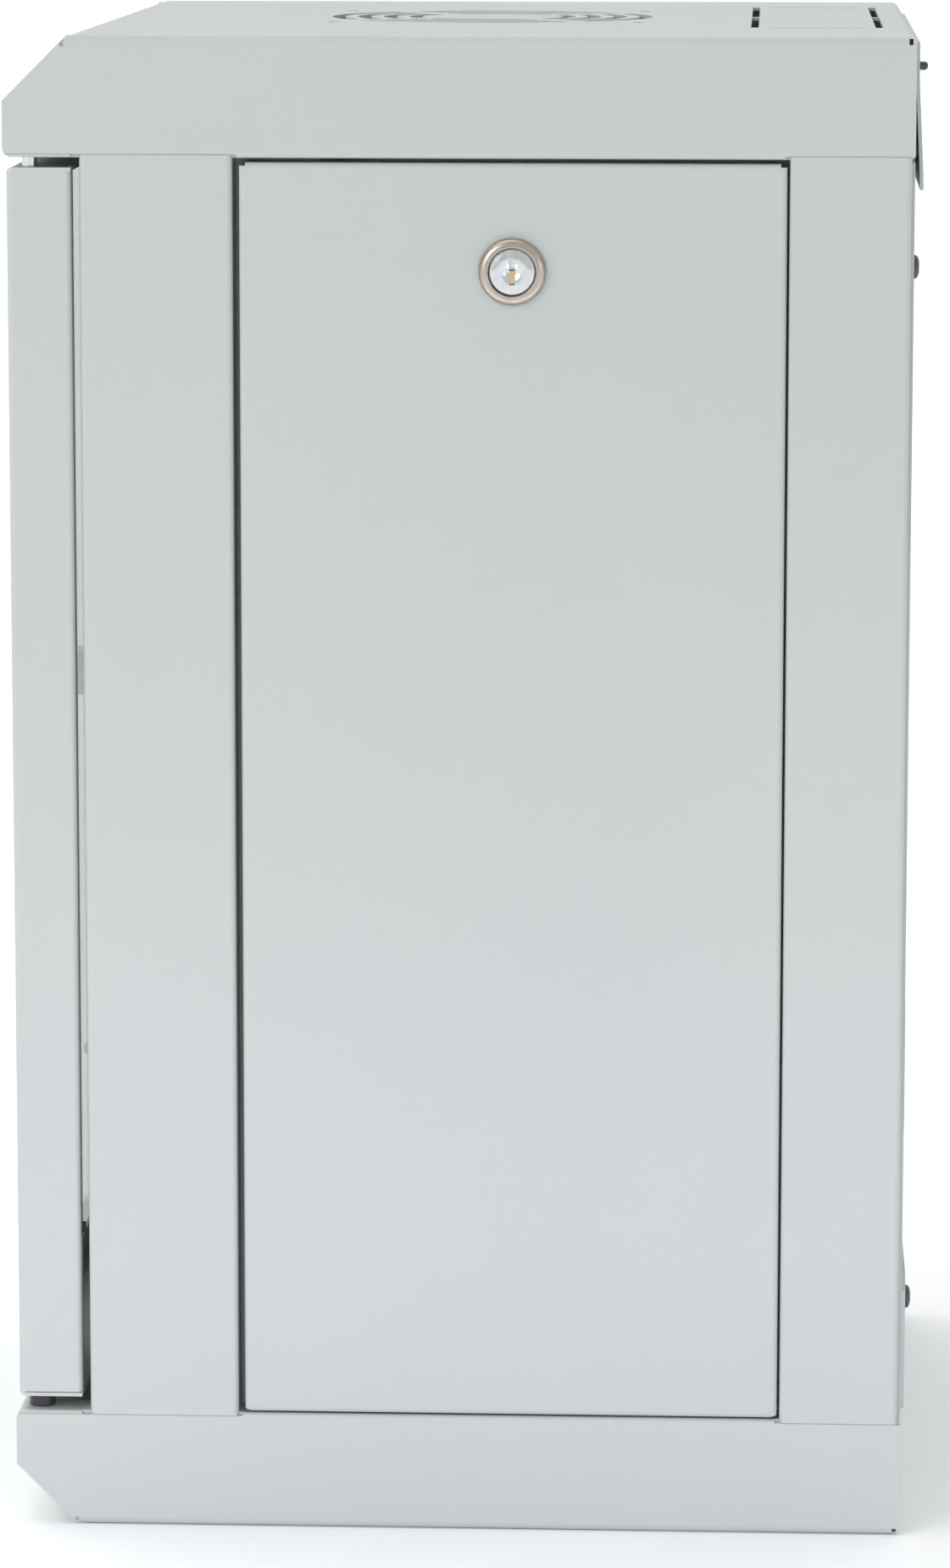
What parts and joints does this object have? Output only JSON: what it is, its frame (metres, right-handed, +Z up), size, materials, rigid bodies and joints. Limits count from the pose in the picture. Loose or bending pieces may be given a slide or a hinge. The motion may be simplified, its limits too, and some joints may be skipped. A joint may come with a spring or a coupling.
{
  "type": "wall mount network cabinet",
  "caption": "Compact wall mount cabinet for ten-inch network gear, with a hinged glass door, lockable lift-off side panels, a sloped cap and base, and a rear hanging hook.",
  "frame": {"origin": "middle of the base plate's underside, midway between the sides and between the cap's front and rear faces", "axes": "+X to the side seen in the picture (the door's hinge side), +Y to the rear, +Z up"},
  "size_m": [0.318, 0.3068, 0.505],
  "materials": {
    "grey_powder_coat": "fine satin powder coat, light grey",
    "zinc_steel": "zinc plated",
    "satin_nickel": "satin nickel",
    "bright_nickel": "bright nickel",
    "spring_steel": "bare spring wire",
    "tinted_glass": "toughened, lightly tinted",
    "black_foam": "closed-cell foam",
    "black_rubber": "matt edging",
    "black_plastic": "moulded nylon",
    "black_steel": "black oxide",
    "brass": "plain brass"
  },
  "bodies": {
    "cabinet": {"top_cap": "grey_powder_coat", "base_tray": "grey_powder_coat", "rear_panel": "grey_powder_coat", "rear_entry_trim": "black_rubber", "rear_panel_screws": "black_steel", "rear_weld_nuts": "zinc_steel", "lower_wall_bracket": "grey_powder_coat", "hanging_bracket": "grey_powder_coat", "hanging_bracket_bolts": "black_steel", "bracket_spacers": "zinc_steel", "rail_screws": "zinc_steel", "rail_nuts": "zinc_steel", "lower_pivot_pin": "zinc_steel", "earth_stud": "brass", "earth_nut": "zinc_steel", "front_post_left": "grey_powder_coat", "front_post_right": "grey_powder_coat", "rear_post_left": "grey_powder_coat", "rear_post_right": "grey_powder_coat", "front_rail_left": "zinc_steel", "front_rail_right": "zinc_steel", "rail_carrier_upper_left": "zinc_steel", "rail_carrier_upper_right": "zinc_steel", "rail_carrier_lower_left": "zinc_steel", "rail_carrier_lower_right": "zinc_steel"},
    "door": {"door_frame": "grey_powder_coat", "door_buffers": "black_rubber", "door_glass": "tinted_glass", "glass_gasket": "black_foam", "glass_retainer_left": "zinc_steel", "glass_retainer_right": "zinc_steel", "retainer_studs": "zinc_steel", "retainer_nuts": "zinc_steel", "hinge_pin_bracket": "zinc_steel", "hinge_spring": "spring_steel", "lower_hinge_bush": "black_plastic", "door_lock_housing": "satin_nickel", "door_lock_nut": "zinc_steel"},
    "hinge_pin": {"upper_hinge_pin": "bright_nickel"},
    "door_lock": {"door_lock_plug": "bright_nickel", "door_lock_cam": "zinc_steel", "door_cam_screw": "zinc_steel"},
    "side_panel_left": {"side_panel_left": "grey_powder_coat", "left_lock_housing": "satin_nickel", "left_lock_nut": "zinc_steel"},
    "side_lock_left": {"left_lock_plug": "bright_nickel", "left_lock_cam": "zinc_steel", "left_cam_screw": "zinc_steel"},
    "side_panel_right": {"side_panel_right": "grey_powder_coat", "right_lock_housing": "satin_nickel", "right_lock_nut": "zinc_steel"},
    "side_lock_right": {"right_lock_plug": "bright_nickel", "right_lock_cam": "zinc_steel", "right_cam_screw": "zinc_steel"}
  },
  "joints": [
    {"name": "door_swing", "type": "hinge", "parent": "cabinet", "child": "door", "pos_m": [0.147, -0.142, 0.2525], "axis": [0, 0, 1], "range_deg": [0, 180]},
    {"name": "door_lock_turn", "type": "hinge", "parent": "door", "child": "door_lock", "pos_m": [-0.131, -0.149, 0.25275], "axis": [0, 1, 0], "range_deg": [0, 90]},
    {"name": "hinge_pin_draw", "type": "slide", "parent": "door", "child": "hinge_pin", "axis": [0, 0, -1], "range_m": [0, 0.0085], "stiffness_N_per_m": 300, "springref_m": -0.004, "deforming": ["hinge_spring"]},
    {"name": "side_panel_right_off", "type": "slide", "parent": "cabinet", "child": "side_panel_right", "axis": [1, 0, 0], "range_m": [0, 0.08]},
    {"name": "side_panel_left_off", "type": "slide", "parent": "cabinet", "child": "side_panel_left", "axis": [-1, 0, 0], "range_m": [0, 0.08]},
    {"name": "side_lock_right_turn", "type": "hinge", "parent": "side_panel_right", "child": "side_lock_right", "pos_m": [0.156, 0.0181, 0.4274], "axis": [1, 0, 0], "range_deg": [0, 90]},
    {"name": "side_lock_left_turn", "type": "hinge", "parent": "side_panel_left", "child": "side_lock_left", "pos_m": [-0.156, 0.0181, 0.4274], "axis": [1, 0, 0], "range_deg": [0, 90]}
  ]
}
